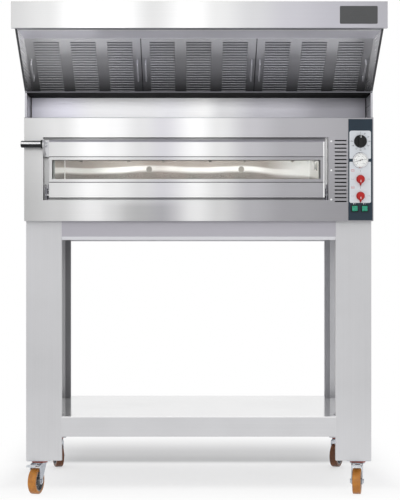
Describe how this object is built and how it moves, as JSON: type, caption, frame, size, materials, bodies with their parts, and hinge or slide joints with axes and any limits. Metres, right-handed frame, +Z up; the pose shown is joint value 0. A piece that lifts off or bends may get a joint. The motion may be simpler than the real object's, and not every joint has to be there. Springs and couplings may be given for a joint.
{
  "type": "pizza oven",
  "caption": "Deck pizza oven with a glazed bottom-hinged door, control strip, extraction hood with slanted labyrinth filters, and an open castor stand with a shelf.",
  "frame": {"origin": "centre of the outline on the floor, under the castors", "axes": "+X to the right seen from the front, +Y to the rear, +Z up"},
  "size_m": [1.374, 1.205, 1.898],
  "materials": {
    "frame_steel": "brushed",
    "shelf_steel": "brushed, bright",
    "zinc": "zinc plated",
    "hub_grey": "cast",
    "tread_amber": "satin polyurethane",
    "pedal_steel": "pressed",
    "deck_steel": "brushed",
    "chamber_steel": "heat toned",
    "refractory": "matt",
    "mineral_wool": "fibrous",
    "element_steel": "oxidised",
    "lamp_glass": "frosted",
    "hinge_steel": "brushed",
    "gland_plastic": "moulded",
    "panel_slate": "satin",
    "control_plastic": "moulded",
    "dial_case": "polished rim, white dial",
    "black_plastic": "moulded",
    "red_plastic": "moulded",
    "green_lens": "translucent",
    "needle_black": "matt",
    "door_steel": "brushed",
    "door_liner": "brushed",
    "door_pane": "clear",
    "grip_dark": "polished dark",
    "hood_steel": "brushed",
    "fascia_steel": "brushed",
    "tray_steel": "brushed",
    "filter_steel": "bright"
  },
  "bodies": {
    "frame": {"front_left_leg": "frame_steel", "front_right_leg": "frame_steel", "rear_left_leg": "frame_steel", "rear_right_leg": "frame_steel", "front_apron": "frame_steel", "side_aprons": "frame_steel", "rear_apron": "frame_steel", "shelf": "shelf_steel", "castor_plates": "zinc", "front_panel": "deck_steel", "top_cover": "deck_steel", "side_panels": "deck_steel", "rear_cover": "deck_steel", "base_tray": "deck_steel", "chamber": "chamber_steel", "refractory_slabs": "refractory", "insulation": "mineral_wool", "upper_elements": "element_steel", "lower_elements": "element_steel", "chamber_lamp": "lamp_glass", "hinge_brackets": "hinge_steel", "cable_gland": "gland_plastic", "control_panel": "panel_slate", "control_bodies": "control_plastic", "thermometer_case": "dial_case", "switch_bezels": "black_plastic", "hood_canopy": "hood_steel", "hood_soffit": "hood_steel", "plinth_panel": "hood_steel", "exhaust_collar": "hood_steel", "hood_fascia": "fascia_steel", "drip_tray": "tray_steel"},
    "door": {"door_skin": "door_steel", "door_inner_panel": "door_liner", "door_glass": "door_pane", "grip_bracket": "hinge_steel", "door_grip": "grip_dark"},
    "thermostat": {"thermostat_knob": "black_plastic"},
    "upper_heat": {"upper_heat_knob": "red_plastic"},
    "lower_heat": {"lower_heat_knob": "red_plastic"},
    "switch_a": {"left_switch": "green_lens"},
    "switch_b": {"right_switch": "green_lens"},
    "needle": {"thermometer_needle": "needle_black"},
    "filter_a": {"left_filter": "filter_steel"},
    "filter_b": {"middle_filter": "filter_steel"},
    "filter_c": {"right_filter": "filter_steel"},
    "pedal_left": {"brake_pedal_left": "pedal_steel"},
    "pedal_right": {"brake_pedal_right": "pedal_steel"},
    "swivel_front_left": {"fork_front_left": "zinc"},
    "wheel_front_left": {"hub_front_left": "hub_grey", "tread_front_left": "tread_amber"},
    "swivel_front_right": {"fork_front_right": "zinc"},
    "wheel_front_right": {"hub_front_right": "hub_grey", "tread_front_right": "tread_amber"},
    "swivel_rear_left": {"fork_rear_left": "zinc"},
    "wheel_rear_left": {"hub_rear_left": "hub_grey", "tread_rear_left": "tread_amber"},
    "swivel_rear_right": {"fork_rear_right": "zinc"},
    "wheel_rear_right": {"hub_rear_right": "hub_grey", "tread_rear_right": "tread_amber"}
  },
  "joints": [
    {"name": "door_hinge", "type": "hinge", "parent": "frame", "child": "door", "pos_m": [0, -0.2855, 1.164], "axis": [1, 0, 0], "range_deg": [0, 90]},
    {"name": "thermostat_turn", "type": "hinge", "parent": "frame", "child": "thermostat", "pos_m": [0.6245, -0.3, 1.371], "axis": [0, 1, 0], "range_deg": [0, 270]},
    {"name": "upper_heat_turn", "type": "hinge", "parent": "frame", "child": "upper_heat", "pos_m": [0.6245, -0.3, 1.2246], "axis": [0, 1, 0], "range_deg": [0, 270]},
    {"name": "lower_heat_turn", "type": "hinge", "parent": "frame", "child": "lower_heat", "pos_m": [0.6245, -0.3, 1.1597], "axis": [0, 1, 0], "range_deg": [0, 270]},
    {"name": "switch_a_rock", "type": "hinge", "parent": "frame", "child": "switch_a", "pos_m": [0.6023, -0.3005, 1.1114], "axis": [1, 0, 0], "range_deg": [0, 12]},
    {"name": "switch_b_rock", "type": "hinge", "parent": "frame", "child": "switch_b", "pos_m": [0.6407, -0.3005, 1.1114], "axis": [1, 0, 0], "range_deg": [0, 12]},
    {"name": "needle_turn", "type": "hinge", "parent": "frame", "child": "needle", "pos_m": [0.6245, -0.303, 1.2976], "axis": [0, 1, 0], "range_deg": [0, 270]},
    {"name": "filter_a_lift", "type": "slide", "parent": "frame", "child": "filter_a", "axis": [0, -0.8526, 0.5225], "range_m": [0, 0.012]},
    {"name": "filter_b_lift", "type": "slide", "parent": "frame", "child": "filter_b", "axis": [0, -0.8526, 0.5225], "range_m": [0, 0.012]},
    {"name": "filter_c_lift", "type": "slide", "parent": "frame", "child": "filter_c", "axis": [0, -0.8526, 0.5225], "range_m": [0, 0.012]},
    {"name": "swivel_front_left_turn", "type": "hinge", "parent": "frame", "child": "swivel_front_left", "pos_m": [-0.624, -0.2095, 0.117], "axis": [0, 0, 1], "continuous": true},
    {"name": "wheel_front_left_roll", "type": "hinge", "parent": "swivel_front_left", "child": "wheel_front_left", "pos_m": [-0.63447, -0.24603, 0.05], "axis": [0.9613, -0.2756, 0], "continuous": true},
    {"name": "swivel_front_right_turn", "type": "hinge", "parent": "frame", "child": "swivel_front_right", "pos_m": [0.624, -0.2095, 0.117], "axis": [0, 0, 1], "continuous": true},
    {"name": "wheel_front_right_roll", "type": "hinge", "parent": "swivel_front_right", "child": "wheel_front_right", "pos_m": [0.6174, -0.24692, 0.05], "axis": [0.9848, -0.1736, 0], "continuous": true},
    {"name": "swivel_rear_left_turn", "type": "hinge", "parent": "frame", "child": "swivel_rear_left", "pos_m": [-0.624, 0.4745, 0.117], "axis": [0, 0, 1], "continuous": true},
    {"name": "wheel_rear_left_roll", "type": "hinge", "parent": "swivel_rear_left", "child": "wheel_rear_left", "pos_m": [-0.61226, 0.43836, 0.05], "axis": [0.9511, 0.309, 0], "continuous": true},
    {"name": "swivel_rear_right_turn", "type": "hinge", "parent": "frame", "child": "swivel_rear_right", "pos_m": [0.624, 0.4745, 0.117], "axis": [0, 0, 1], "continuous": true},
    {"name": "wheel_rear_right_roll", "type": "hinge", "parent": "swivel_rear_right", "child": "wheel_rear_right", "pos_m": [0.60854, 0.43979, 0.05], "axis": [0.9135, -0.4067, 0], "continuous": true},
    {"name": "pedal_left_press", "type": "hinge", "parent": "swivel_front_left", "child": "pedal_left", "pos_m": [-0.63503, -0.24795, 0.109], "axis": [0.9613, -0.2756, 0], "range_deg": [0, 12]},
    {"name": "pedal_right_press", "type": "hinge", "parent": "swivel_front_right", "child": "pedal_right", "pos_m": [0.61705, -0.24889, 0.109], "axis": [0.9848, -0.1736, 0], "range_deg": [0, 12]}
  ]
}
